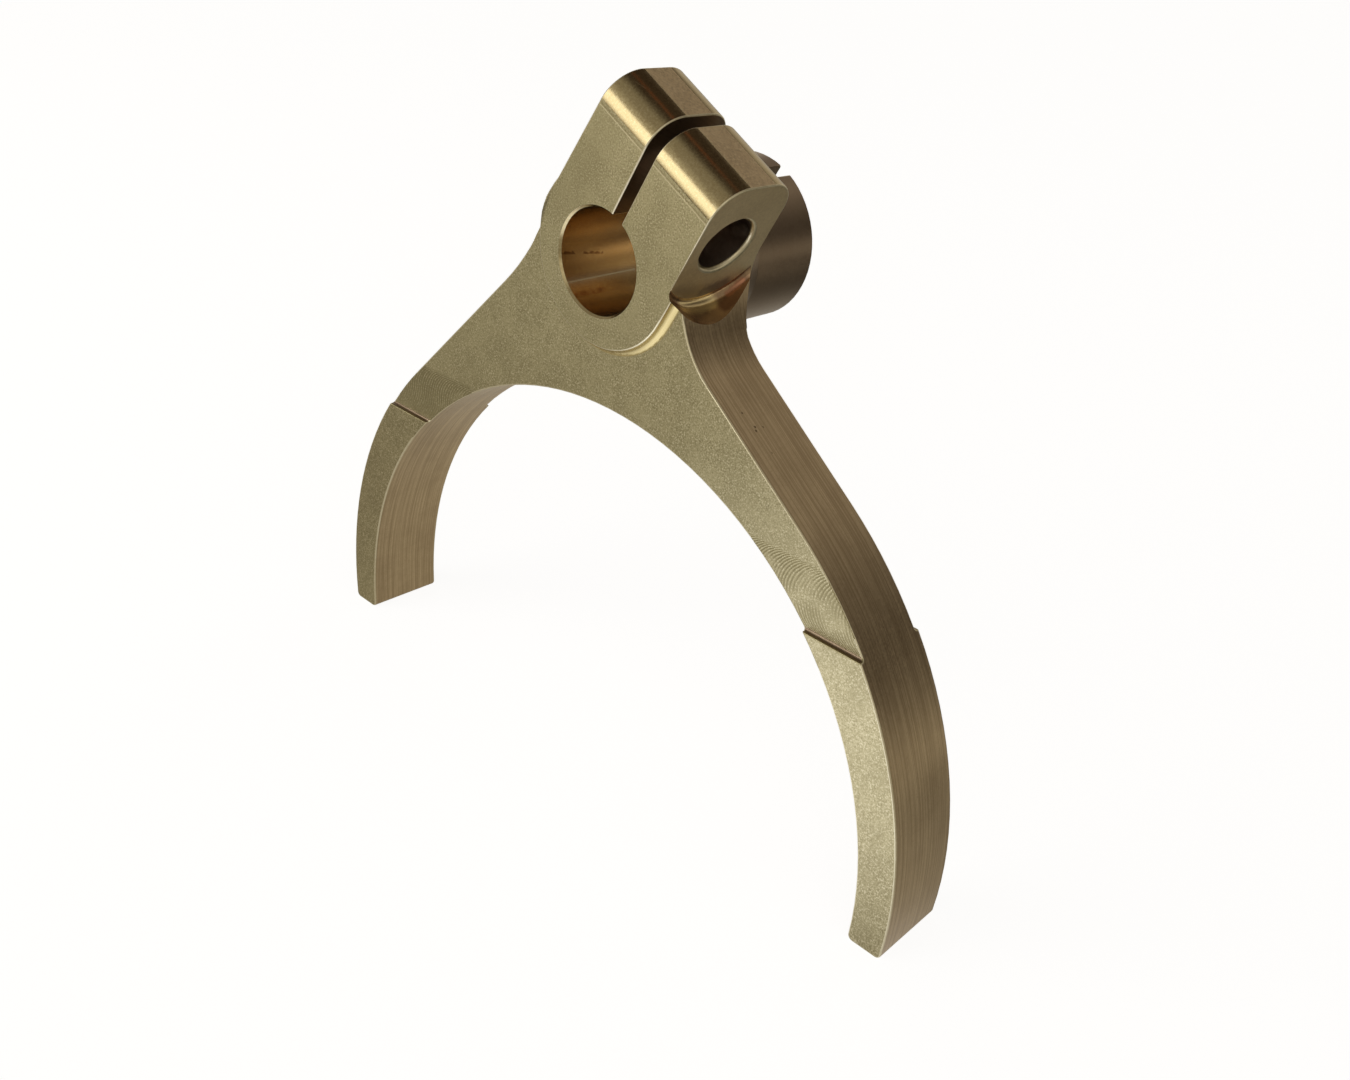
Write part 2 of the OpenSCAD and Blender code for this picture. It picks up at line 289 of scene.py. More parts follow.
class Effects:
    """The effects that every finish draws on, each built once."""

    def __init__(self) -> None:
        """Builds all the groups."""
        self.tone = self.make_tone()
        self.grain = self.make_grain()
        self.lines = self.make_lines()
        self.arcs = self.make_arcs()
        self.scribe = self.make_scribe()

    @staticmethod
    def make_tone() -> Effect:
        """Colour of the metal, with soft clouds and fine specks.

        Returns:
            The group, which puts out Color.
        """
        made = Effect("brass_tone", {"Place": "Vector", "Base": "Color", "Deep": "Color", "Pale": "Color",
                                     "Cloud": "Float", "Speck": "Float", "Grain": "Float"}, {"Color": "Color"})
        g, given = made.graph, made.given
        cloud = g.step(g.noise(given["Place"], 0.16, 3.0, 0.55), 0.40, 0.66)
        patch = g.step(g.noise(given["Place"], 0.75, 3.0, 0.60), 0.44, 0.66)
        fine = g.noise(given["Place"], g.math("DIVIDE", 1.0, given["Grain"]), 2.0, 0.6)
        shade = g.math("MULTIPLY_ADD", patch, 0.30, g.math("MULTIPLY", cloud, 0.70))
        colour = g.mix(g.math("MULTIPLY", shade, given["Cloud"]), given["Base"], given["Deep"])
        uneven = g.step(g.noise(given["Place"], 0.33, 2.0), 0.30, 0.70, 0.65, 1.0)
        uneven = g.math("MULTIPLY", uneven, given["Speck"])
        dark = g.math("MULTIPLY", g.step(fine, 0.34, 0.50, 1.0, 0.0), uneven)
        light = g.math("MULTIPLY", g.step(fine, 0.52, 0.68), uneven)
        made.give("Color", g.mix(light, g.mix(dark, colour, given["Deep"]), given["Pale"]))
        return made

    @staticmethod
    def make_grain() -> Effect:
        """Fine relief of a satin surface.

        Returns:
            The group, which puts out Height, from 0 to 1.
        """
        made = Effect("satin_grain", {"Place": "Vector", "Grain": "Float"}, {"Height": "Float"})
        g, given = made.graph, made.given
        scale = g.math("DIVIDE", 1.0, given["Grain"])
        coarse = g.noise(given["Place"], scale, 2.0, 0.55)
        fine = g.noise(given["Place"], g.math("MULTIPLY", scale, 2.7), 1.0, 0.5)
        made.give("Height", g.math("MULTIPLY_ADD", fine, 0.4, g.math("MULTIPLY", coarse, 0.6)))
        return made

    @staticmethod
    def make_lines() -> Effect:
        """Tool lines: streaks that are close across them and long along them.

        Returns:
            The group, which puts out Lines, from 0 to 1.
        """
        made = Effect("tool_lines", {"Across": "Float", "Along": "Vector", "Pitch": "Float"}, {"Lines": "Float"})
        g, given = made.graph, made.given
        drift = g.math("MULTIPLY", g.noise(given["Along"], 0.05, 1.0), 0.15)
        across = g.math("DIVIDE", g.math("ADD", given["Across"], drift), given["Pitch"])
        slow = g.scaled(given["Along"], 0.035)
        shift = g.vector("ADD", slow, g.joined(across, 0.0, 0.0))
        wide = g.noise(shift, 0.45, 3.0, 0.65)
        close = g.noise(shift, 1.6, 2.0, 0.6)
        both = g.math("MULTIPLY_ADD", close, 0.5, g.math("MULTIPLY", wide, 0.5))
        made.give("Lines", g.step(both, 0.40, 0.60))
        return made

    @staticmethod
    def make_arcs() -> Effect:
        """Feed marks of an end mill that ran along the x axis.

        Returns:
            The group, which puts out Height and Mask, the place where the marks show, each from 0 to 1.
        """
        made = Effect("feed_arcs", {"Place": "Vector", "Pitch": "Float", "Line": "Float", "Radius": "Float"},
                      {"Height": "Float", "Mask": "Float"})
        g, given = made.graph, made.given
        x, z = g.dot(given["Place"], (1.0, 0.0, 0.0)), g.dot(given["Place"], (0.0, 0.0, 1.0))
        off = g.math("SUBTRACT", z, given["Line"])
        reach = g.math("MULTIPLY", given["Radius"], given["Radius"])
        inside = g.math("SUBTRACT", reach, g.math("MULTIPLY", off, off))
        front = g.math("ADD", x, g.math("SQRT", g.math("MAXIMUM", inside, 0.0)))
        wander = g.math("MULTIPLY", g.noise(given["Place"], 0.35, 1.0), 0.5)
        turns = g.math("DIVIDE", g.math("ADD", front, wander), given["Pitch"])
        wave = g.math("SINE", g.math("MULTIPLY", turns, 2.0 * math.pi))
        made.give("Height", g.math("MULTIPLY_ADD", wave, 0.5, 0.5))
        far = g.math("DIVIDE", g.math("ABSOLUTE", off), given["Radius"])
        patchy = g.step(g.noise(given["Place"], 0.22, 2.0), 0.30, 0.55)
        made.give("Mask", g.math("MULTIPLY", g.step(far, 0.85, 1.0, 1.0, 0.0), patchy))
        return made

    @staticmethod
    def make_scribe() -> Effect:
        """A straight mark between two points, or a dot where they are the same.

        Returns:
            The group, which puts out Mask, from 0 to 1.
        """
        made = Effect("scribed_mark", {"Place": "Vector", "Start": "Vector", "End": "Vector", "Width": "Float",
                                       "Broken": "Float"}, {"Mask": "Float"})
        g, given = made.graph, made.given
        run = g.vector("SUBTRACT", given["End"], given["Start"])
        offset = g.vector("SUBTRACT", given["Place"], given["Start"])
        length = g.math("MAXIMUM", g.measure("DOT_PRODUCT", run, run), 1e-6)
        share = g.math("DIVIDE", g.measure("DOT_PRODUCT", offset, run), length, clamp=True)
        away = g.measure("DISTANCE", offset, g.scaled(run, share))
        edge = g.math("MULTIPLY_ADD", g.noise(given["Place"], 1.7, 2.0), 0.6, 0.7)
        mask = g.step(g.math("DIVIDE", away, g.math("MULTIPLY", given["Width"], edge)), 0.35, 1.0, 1.0, 0.0)
        gaps = g.step(g.noise(given["Place"], 1.3, 1.0), 0.42, 0.52)
        kept = g.math("SUBTRACT", 1.0, g.math("MULTIPLY", given["Broken"], g.math("SUBTRACT", 1.0, gaps)))
        made.give("Mask", g.math("MULTIPLY", mask, kept))
        return made


@dataclass
class Clamp:
    """Sizes of the clamp that its marks follow, in millimetres and degrees.

    Attributes:
        tilt: Lean of the clamp to the right.
        bolt_up: Height of the bolt's axis over the rail's.
        bolt_front: Bolt's axis in front of the plate's middle.
        flank: Distance from the rail's axis to the right flank.
        round_low: Height at which the rounds of the top begin.
        top: Height of the flat top.
        slit: Middle and half width of the slit.
        bore: Radius of the rail bore.
        boss: Radius of the boss.
        back: Back of the clamp's block.
        front: Front of the clamp's block.
        bolt_hole: Radius of the bolt's clearance hole.
        tap_hole: Radius of the tapped hole.
        seat: Radius of the bolt's seat.
    """

    tilt: float = 28.0
    bolt_up: float = 13.5
    bolt_front: float = 0.5
    flank: float = 12.4
    round_low: float = 18.8
    top: float = 23.6
    slit: tuple[float, float] = (-0.25, 1.0)
    bore: float = 7.5
    boss: float = 12.5
    back: float = 7.2
    front: float = -7.2
    bolt_hole: float = 4.25
    tap_hole: float = 3.4
    seat: float = 10.4

    @property
    def across(self) -> Point:
        """Direction from the left ear to the right one."""
        return (math.cos(math.radians(self.tilt)), 0.0, -math.sin(math.radians(self.tilt)))

    @property
    def along(self) -> Point:
        """Direction from the rail's axis to the clamp's top."""
        return (math.sin(math.radians(self.tilt)), 0.0, math.cos(math.radians(self.tilt)))

    def point(self, x: float, y: float, z: float) -> Point:
        """Place in the fork's axes of a point in the clamp's own axes."""
        return (x * self.across[0] + z * self.along[0], y, x * self.across[2] + z * self.along[2])


@dataclass(frozen=True)
class Scribe:
    """A small mark on one finish, at its own place on the fork: some stand for real marks, some are painted light
    and shade.

    Attributes:
        finish: The finish that it is on.
        start: Where it starts, in millimetres.
        end: Where it ends, in millimetres.
        width: Half of its width, in millimetres.
        colour: Colour that it turns the metal to.
        strength: How much of that colour shows.
        depth: How deep it is, in millimetres.
        broken: How far it is broken into specks, from 0 to 1.
    """

    finish: Finish
    start: Point
    end: Point
    width: float
    colour: Colour
    strength: float
    depth: float = 0.0
    broken: float = 0.0


def scribes(clamp: Clamp) -> tuple[Scribe, ...]:
    """The small marks that the fork carries, and the painted highlights, glints, reflections and shade laid on
    it.

    Args:
        clamp: Sizes that the marks on the clamp follow.

    Returns:
        The marks.
    """
    point, front, flank = clamp.point, clamp.front, clamp.flank
    pale, painted_highlight, painted_glint, pale_spot = (0.72, 0.64, 0.42), (0.95, 0.88, 0.66), (1.0, 0.80, 0.43), (0.80, 0.71, 0.62)
    dark, red, painted_red_reflection, painted_seat_shade = (0.20, 0.15, 0.07), (0.42, 0.20, 0.09), (0.46, 0.20, 0.11), (0.17, 0.085, 0.05)
    painted_corner_shade, painted_deep_corner_shade, stain, pit = (0.40, 0.32, 0.21), (0.25, 0.21, 0.17), (0.26, 0.13, 0.05), (0.12, 0.08, 0.04)
    # painted shade: a broad darker patch over the left ear's front, in the face's deep colour
    made = [Scribe(FACE, point(-10.5, front, 6.0), point(-9.5, front, 15.0), 6.5, FACE.deep, 0.28)]
    # a fine line across the front under the top rounds: a shallow groove with a painted highlight line below it
    # and a painted shade line above it
    for left, right in ((-10.8, -1.4), (0.9, 12.2)):
        for height, width, colour, strength in ((18.05, 0.10, pale, 0.7), (18.32, 0.09, dark, 0.55)):
            start, end = point(left, front, height), point(right, front, height)
            made.append(Scribe(FACE, start, end, width, colour, strength, depth=0.004))
    made += [
        # painted highlight: a bright line along the bore's wall
        Scribe(BORE, point(-3.05, -6.8, -6.85), point(-3.05, 6.0, -6.85), 0.16, painted_highlight, 0.9),
        Scribe(BORE, point(-6.22, -6.8, -4.19), point(-5.66, 0.65, -4.92), 0.30, stain, 0.8, broken=1.0),
        Scribe(BORE, point(-1.04, -6.4, -7.43), point(-1.04, -1.5, -7.43), 0.60, red, 0.7, broken=0.6),
        # painted glint: a golden highlight on the seat's wall and corner at the lower left
        Scribe(SEAT, (13.1, -3.4, -3.0), (13.1, 1.6, -3.2), 1.8, painted_glint, 1.0),
        # painted shade: dark reddish brown over the seat wall's right part
        Scribe(SEAT, (14.65, 3.3, -3.5), (14.75, 7.0, -0.8), 1.5, painted_seat_shade, 0.8),
        # painted reflection: a reddish streak at the seat wall's right tip
        Scribe(SEAT, (13.9, 4.6, -2.2), (14.2, 6.8, -0.6), 0.7, painted_red_reflection, 0.6),
        # painted shade on the right flank where it runs down into the seat's corner, darkest in the second mark
        Scribe(FLANK, point(flank, -5.5, 5.2), point(flank, -0.5, 4.4), 3.2, painted_corner_shade, 0.55),
        Scribe(FLANK, point(flank, 0.4, 4.7), point(flank, 3.6, 5.6), 1.9, painted_deep_corner_shade, 0.75),
        # a paler spot on the drilled wall near the hole's mouth
        Scribe(DRILL, point(10.9, 3.6, 14.4), point(9.8, 3.75, 13.2), 1.1, pale_spot, 0.8),
        Scribe(ROUND, point(-9.0, -4.94, 22.87), point(-7.4, -4.50, 23.11), 0.09, pale, 0.8, depth=0.003),
    ]
    pits = (((24.88, -2.85, -14.34), 0.16), ((26.84, -2.20, -15.81), 0.24), ((27.14, -0.87, -16.04), 0.15),
            ((27.30, -2.45, -16.16), 0.26), ((30.20, -2.16, -18.35), 0.13))
    made += [Scribe(SIDE, place, place, size, pit, 0.85, depth=0.03) for place, size in pits]
    return tuple(made)


@dataclass
class BrassShader:
    """Makes the material of a finish from the shared effects.

    Attributes:
        effects: The shared groups.
        clamp: Sizes that turned marks follow.
        pad_step: Height of the pads' steps, in millimetres.
        cutter: Radius of the end mill that cut the pads' steps, in millimetres.
    """

    effects: Effects
    clamp: Clamp
    pad_step: float = -38.5
    cutter: float = 5.0

    def make(self, finish: Finish) -> bpy.types.Material:
        """Makes one material.

        Args:
            finish: The finish to make.

        Returns:
            The material.
        """
        made = bpy.data.materials.new(finish.name)
        made.use_nodes = True
        made.node_tree.nodes.clear()
        g = Graph(made.node_tree)
        place = g.scaled(g.node("ShaderNodeTexCoord").outputs["Object"], 1.0 / MM)
        colour = self.effects.tone.use(g, {"Place": place, "Base": finish.base, "Deep": finish.deep,
                                           "Pale": finish.pale, "Cloud": finish.cloud, "Speck": finish.speck,
                                           "Grain": finish.grain})["Color"]
        grain = self.effects.grain.use(g, {"Place": place, "Grain": finish.grain})["Height"]
        marks, shown = self.marks(g, place, finish)
        marks = g.math("MULTIPLY", marks, shown)
        colour = g.mix(g.math("MULTIPLY", marks, finish.mark_tone), colour, finish.deep)
        height = g.math("MULTIPLY", grain, finish.grain_depth * MM)
        height = g.math("ADD", height, g.math("MULTIPLY", marks, -finish.mark_depth * MM))
        for mark in scribes(self.clamp):
            if mark.finish is finish:
                mask = self.effects.scribe.use(g, {"Place": place, "Start": mark.start, "End": mark.end,
                                                   "Width": mark.width, "Broken": mark.broken})["Mask"]
                colour = g.mix(g.math("MULTIPLY", mask, mark.strength), colour, mark.colour)
                height = g.math("MULTIPLY_ADD", mask, -mark.depth * MM, height)
        bump = g.node("ShaderNodeBump", {"Height": height, "Distance": 1.0, "Strength": 1.0})
        rough = g.step(grain, 0.35, 0.65, finish.rough[0], finish.rough[1])
        shader = g.node("ShaderNodeBsdfPrincipled", {"Base Color": colour, "Metallic": 1.0, "Roughness": rough,
                                                     "Normal": bump.outputs[0]})
        out = g.node("ShaderNodeOutputMaterial")
        g.tree.links.new(shader.outputs[0], out.inputs["Surface"])
        return made

    def marks(self, g: Graph, place: Socket, finish: Finish) -> tuple[Socket, Value]:
        """Pattern of a finish's tool marks.

        Args:
            g: The material's graph.
            place: Position in millimetres.
            finish: The finish.

        Returns:
            The pattern, from 0 to 1, and where it shows.
        """
        y = g.dot(place, (0.0, 1.0, 0.0))
        across, along = g.dot(place, self.clamp.across), g.dot(place, self.clamp.along)
        if finish.mark is Mark.SATIN:
            line = self.pad_step + self.cutter
            arcs = self.effects.arcs.use(g, {"Place": place, "Pitch": finish.pitch, "Line": line,
                                             "Radius": self.cutter})
            return arcs["Height"], arcs["Mask"]
        if finish.mark is Mark.EDGE_LINES:
            across_lines, run = y, place
        elif finish.mark is Mark.RAIL_RINGS:
            across_lines, run = y, g.joined(across, 0.0, along)
        elif finish.mark is Mark.LENGTHWAYS:
            turn = g.math("ARCTAN2", g.math("SUBTRACT", along, self.clamp.round_low), y)
            across_lines, run = g.math("MULTIPLY", turn, self.clamp.top - self.clamp.round_low), place
        elif finish.mark is Mark.BOLT_RINGS:
            up = g.math("SUBTRACT", along, self.clamp.bolt_up)
            out = g.math("ADD", y, self.clamp.bolt_front)
            across_lines = g.math("SQRT", g.math("ADD", g.math("MULTIPLY", up, up), g.math("MULTIPLY", out, out)))
            run = g.scaled(place, 0.1)
        else:
            across_lines, run = g.math("MULTIPLY_ADD", y, 0.5, along), g.scaled(place, 0.1)
        lines = self.effects.lines.use(g, {"Across": across_lines, "Along": run, "Pitch": finish.pitch})
        return lines["Lines"], 1.0


@dataclass
class Fork:
    """The fork itself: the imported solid's faces with a thread, broken edges and finishes.

    Attributes:
        clamp: Sizes that tell the clamp's surfaces apart.
        plate: Half of the plate's thickness, in millimetres.
        pads: Heights between which the pads' steps lie, in millimetres.
        weld: Distance below which points of the solid's faces are joined, in millimetres.
        flat_angle: Angle below which neighbouring faces are one flat, in degrees.
        smooth_angle: Angle below which an edge is shaded smoothly, in degrees.
        slack: Room left where faces are told apart by their place, in millimetres.
        square: Cosine above which a face looks straight along an axis.
        lean: Cosine above which a face of a hole's rim leans out of the wall.
        bolt_rim: Most that the rim of a bolt hole adds to its radius, in millimetres.
        bore_rim: Most that the rim of the rail bore adds to its radius, in millimetres.
        foot: Width of the hollow round the boss's foot, in millimetres.
        boss_free: Depth from which the boss stands free all round, in millimetres.
        neck: Height over the rail's axis at which the left shoulder's hollow begins, in millimetres.
        hub: Distance from the rail's axis past which the left flank's ledges lie, in millimetres.
        hub_lean: Least cosine between the left flank and the direction across the clamp.
        crease_angle: Least angle of a crease on the hub that is shaded sharply, in degrees.
        tap_middle: Place of the tapped hole's middle across the clamp, in millimetres.
        thread_pitch: Pitch of the thread in the tapped hole, in millimetres.
        thread_depth: Depth of its groove, in millimetres.
        thread_root: Half width of its flat root, in pitches.
        thread_cuts: Rings of points in one pitch.
        edge_break: Width of the broken edges, in millimetres.
        edge_angle: Least angle of an edge that is broken, in degrees.
        fold_lean: Cosine below which a face looks the other way than its surface.
        fold_size: Area of the smallest face that counts as folded, in square millimetres.
        fold_reach: Distance from a folded face to the edge that folds it, in millimetres.
        short_edge: Length up to which such an edge is left sharp, in millimetres.
        short_run: Length below which a run of joined edges is left sharp, in millimetres.
    """

    clamp: Clamp = field(default_factory=Clamp)
    plate: float = 5.8
    pads: tuple[float, float] = (-45.0, -30.0)
    weld: float = 0.02
    flat_angle: float = 0.3
    smooth_angle: float = 35.0
    slack: float = 0.05
    square: float = 0.98
    lean: float = 0.3
    bolt_rim: float = 1.0
    bore_rim: float = 0.6
    foot: float = 8.0
    boss_free: float = 11.7
    neck: float = -5.0
    hub: float = 9.92
    hub_lean: float = 0.85
    crease_angle: float = 3.0
    tap_middle: float = -6.0
    thread_pitch: float = 1.25
    thread_depth: float = 0.6
    thread_root: float = 0.1
    thread_cuts: int = 6
    edge_break: float = 0.22
    edge_angle: float = 50.0
    fold_lean: float = -0.2
    fold_size: float = 1e-6
    fold_reach: float = 0.6
    short_edge: float = 3.0
    short_run: float = 4.0

    def build(self, solid: bpy.types.Object, shader: BrassShader) -> bpy.types.Object:
        """Makes the fork's visible body.

        Args:
            solid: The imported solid, which it stands for.
            shader: Maker of the materials.

        Returns:
            The body.
        """
        shape = self.joined_faces(solid.data)
        self.dress_hub(shape)
        self.cut_thread(shape)
        shape = self.broken_edges(shape)
        self.mark_edges(shape)
        mesh = bpy.data.meshes.new("fork_body")
        shape.to_mesh(mesh)
        shape.free()
        for finish in FINISHES:
            mesh.materials.append(shader.make(finish))
        body = bpy.data.objects.new("fork_body", mesh)
        bpy.context.scene.collection.objects.link(body)
        normals = body.modifiers.new("even_shading", "WEIGHTED_NORMAL")
        normals.mode = "FACE_AREA_WITH_ANGLE"
        normals.keep_sharp = True
        return body

    def joined_faces(self, mesh: bpy.types.Mesh) -> bmesh.types.BMesh:
        """Joins the solid's triangles into flats and strips, each with its finish.

        Args:
            mesh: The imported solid's mesh.

        Returns:
            The joined faces.
        """
        shape = bmesh.new()
        points = [shape.verts.new(vertex.co) for vertex in mesh.vertices]
        for polygon, finish in zip(mesh.polygons, self.finishes(mesh)):
            face = shape.faces.new([points[index] for index in polygon.vertices])
            face.material_index = finish
            face.smooth = True
        bmesh.ops.remove_doubles(shape, verts=shape.verts, dist=self.weld * MM)
        bmesh.ops.dissolve_limit(shape, verts=shape.verts, edges=shape.edges, use_dissolve_boundaries=False,
                                 angle_limit=math.radians(self.flat_angle), delimit={"MATERIAL"})
        return shape

    @staticmethod
    def cut_across(shape: bmesh.types.BMesh, faces: list[bmesh.types.BMFace], normal: Vector,
                   reach: float) -> None:
        """Splits faces along a plane.

        Args:
            shape: The faces' mesh.
            faces: The faces to split.
            normal: Direction that the plane looks in.
            reach: Distance of the plane from the origin, in millimetres.
        """
        edges = [edge for face in faces for edge in face.edges]
        points = [point for face in faces for point in face.verts]
        parts = list(dict.fromkeys([*faces, *edges, *points]))
        bmesh.ops.bisect_plane(shape, geom=parts, dist=TOUCH, plane_no=normal, plane_co=normal * (reach * MM))

    def dress_hub(self, shape: bmesh.types.BMesh) -> None:
        """Carries the left flank's finish over the hub, up to where the boss stands free, and evens its ledges.

        Args:
            shape: The joined faces.
        """
        def wall() -> list[bmesh.types.BMFace]:
            """The faces of the boss's round wall."""
            boss = [face for face in shape.faces if face.material_index == slot_of(BOSS)]
            return [face for face in boss if abs(face.normal.y) < 1.0 - self.square]

        self.cut_across(shape, wall(), Vector((0.0, 1.0, 0.0)), self.boss_free)
        for face in wall():
            if face.calc_center_median().y < self.boss_free * MM:
                face.material_index = slot_of(FLANK)
        self.even_ledges(shape)

    def even_ledges(self, shape: bmesh.types.BMesh) -> None:
        """Lays the left flank's narrow ledges down into the faces that they rise from.

        Args:
            shape: The joined faces.
        """
        groups: dict[tuple[float, bool], list[bmesh.types.BMFace]] = {}
        for face in shape.faces:
            if face.material_index == slot_of(FLANK) and abs(face.normal.y) > self.square:
                key = (round(face.calc_center_median().y / MM, 2), face.normal.y > 0.0)
                groups.setdefault(key, []).append(face)
        for (level, back), ledge in groups.items():
            beside = {face for part in ledge for edge in part.edges for face in edge.link_faces} - set(ledge)
            below = [face for face in beside if (face.calc_center_median().y > level * MM) == back]
            kept = {point for face in below for point in face.verts}
            base = max(below, key=bmesh.types.BMFace.calc_area)
            for point in {point for part in ledge for point in part.verts} - kept:
                point.co -= base.normal * (point.co - base.verts[0].co).dot(base.normal)
        edges = {edge for ledge in groups.values() for part in ledge for edge in part.edges}
        bmesh.ops.dissolve_degenerate(shape, edges=list(edges), dist=SLIVER)

    def cut_thread(self, shape: bmesh.types.BMesh) -> None:
        """Cuts the thread's groove into the wall of the tapped hole.

        Args:
            shape: The joined faces.
        """
        across, along = Vector(self.clamp.across), Vector(self.clamp.along)

        def wall() -> list[bmesh.types.BMFace]:
            """The faces of the hole's wall."""
            return [face for face in shape.faces if face.material_index == slot_of(THREAD)]

        rims = [point.co.dot(across) / MM for face in wall() for point in face.verts]
        start = max(rim for rim in rims if rim < self.tap_middle)
        end = min(rim for rim in rims if rim >= self.tap_middle)
        spacing = self.thread_pitch / self.thread_cuts
        for number in range(1, int((end - start) / spacing)):
            self.cut_across(shape, wall(), across, start + number * spacing)
        for point in {point for face in wall() for point in face.verts}:
            x, up = point.co.dot(across) / MM, point.co.dot(along) / MM - self.clamp.bolt_up
            out = point.co.y / MM + self.clamp.bolt_front
            inside = min(x - start, end - x) / self.thread_pitch
            if inside > 0.0:
                turn = (x / self.thread_pitch + math.atan2(up, out) / (2.0 * math.pi)) % 1.0
                groove = min(1.0, (0.5 - abs(turn - 0.5)) / (0.5 - self.thread_root))
                depth = self.thread_depth * min(1.0, inside) * groove
                radial = (along * up + Vector((0.0, out, 0.0))).normalized()
                point.co += radial * (depth * MM)

    def is_sharp(self, edge: bmesh.types.BMEdge) -> bool:
        """Says whether an edge stands out and is broken."""
        kinds = {FINISHES[face.material_index] for face in edge.link_faces}
        plain = kinds == {FLANK} or bool(kinds & {SEAT, THREAD})
        return not plain and edge.calc_face_angle_signed(0.0) > math.radians(self.edge_angle)

    def broken_edges(self, shape: bmesh.types.BMesh) -> bmesh.types.BMesh:
        """Breaks the sharp edges, and leaves out the short ones beside which faces would fold over.

        Args:
            shape: The faces, which are given up.

        Returns:
            The faces with broken edges.
        """
        shape.edges.index_update()
        tree = BVHTree.FromBMesh(shape)
        sharp = [edge for edge in shape.edges if self.is_sharp(edge)]
        lines = {edge.index: [point.co.copy() for point in edge.verts] for edge in sharp}
        while True:
            self.drop_short_runs(lines)
            tried = shape.copy()
            tried.edges.ensure_lookup_table()
            bmesh.ops.bevel(tried, geom=[tried.edges[index] for index in lines], offset=self.edge_break * MM,
                            offset_type="OFFSET", segments=2, profile=0.5, affect="EDGES", clamp_overlap=False,
                            loop_slide=False, material=slot_of(EDGE))
            tried.normal_update()
            folds = [face.calc_center_median() for face in tried.faces if self.is_folded(face, tree)]
            if not folds or not lines:
                LOG.info("%d edges broken by %.2f mm", len(lines), self.edge_break)
                shape.free()
                return tried
            tried.free()
            for place in folds:
                self.leave_out(lines, place)

    def drop_short_runs(self, lines: dict[int, list[Vector]]) -> None:
        """Takes edges off the list that form only a short run.

        Args:
            lines: Ends of each edge to round, by number.
        """
        touching = defaultdict(list)
        for index, ends in lines.items():
            for end in ends:
                touching[end.to_tuple(7)].append(index)
        left = set(lines)
        while left:
            run, fresh = set(), {left.pop()}
            while fresh:
                run |= fresh
                ends = [end.to_tuple(7) for index in fresh for end in lines[index]]
                fresh = {near for end in ends for near in touching[end]} - run
            left -= run
            if sum((lines[index][1] - lines[index][0]).length for index in run) < self.short_run * MM:
                for index in run:
                    del lines[index]

    def is_folded(self, face: bmesh.types.BMFace, tree: BVHTree) -> bool:
        """Says whether a face looks the other way than the surface that it came from.

        Args:
            face: A face of the mesh with broken edges.
            tree: The faces as they were before.

        Returns:
            True for a folded face.
        """
        if face.calc_area() < self.fold_size * MM * MM:
            return False
        _, normal, _, away = tree.find_nearest(face.calc_center_median())
        return away < MM and normal.dot(face.normal) < self.fold_lean

    def leave_out(self, lines: dict[int, list[Vector]], place: Vector) -> None:
        """Takes the edges that fold a face off the list.

        Args:
            lines: Ends of each edge to round, by number.
            place: Middle of the folded face.
        """
        found = []
        for index, (start, end) in lines.items():
            run = end - start
            share = min(1.0, max(0.0, (place - start).dot(run) / max(run.length_squared, 1e-18)))
            found.append(((place - start - run * share).length / MM, run.length / MM, index))
        near = [item for item in sorted(found) if item[0] < self.fold_reach and item[1] < self.short_edge]
        for _, _, index in near[:3] or sorted(found)[:1]:
            del lines[index]

    def mark_edges(self, shape: bmesh.types.BMesh) -> None:
        """Sets which edges are shaded sharply, and takes the bright finish off the pads' steps.

        Args:
            shape: The finished faces.
        """
        for face in shape.faces:
            on_step = self.pads[0] < face.calc_center_median().z / MM < self.pads[1]
            if face.material_index == slot_of(EDGE) and on_step and abs(face.normal.x) < self.lean:
                face.material_index = slot_of(FACE)
        for edge in shape.edges:
            kinds = {FINISHES[face.material_index] for face in edge.link_faces}
            crease = kinds == {FLANK} and edge.calc_face_angle_signed(0.0) < -math.radians(self.crease_angle)
            plain = edge.calc_face_angle(0.0) < math.radians(self.smooth_angle) and kinds != {HOLLOW, SIDE}
            edge.smooth = not crease and (EDGE in kinds or plain)

    def finishes(self, mesh: bpy.types.Mesh) -> list[int]:
        """Number of the finish of each triangle, the same all over one face of the solid.

        Args:
            mesh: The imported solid's mesh, in which the faces of the solid share no points.

        Returns:
            The numbers, in the triangles' order.
        """
        lead = list(range(len(mesh.vertices)))

        def first(index: int) -> int:
            """The point that stands for all the points that a point is joined to."""
            while lead[index] != index:
                lead[index] = lead[lead[index]]
                index = lead[index]
            return index

        for polygon in mesh.polygons:
            for index in polygon.vertices[1:]:
                lead[first(index)] = first(polygon.vertices[0])
        votes: dict[int, Counter] = defaultdict(Counter)
        for polygon in mesh.polygons:
            votes[first(polygon.vertices[0])][slot_of(self.finish_of(polygon))] += polygon.area
        return [votes[first(polygon.vertices[0])].most_common(1)[0][0] for polygon in mesh.polygons]

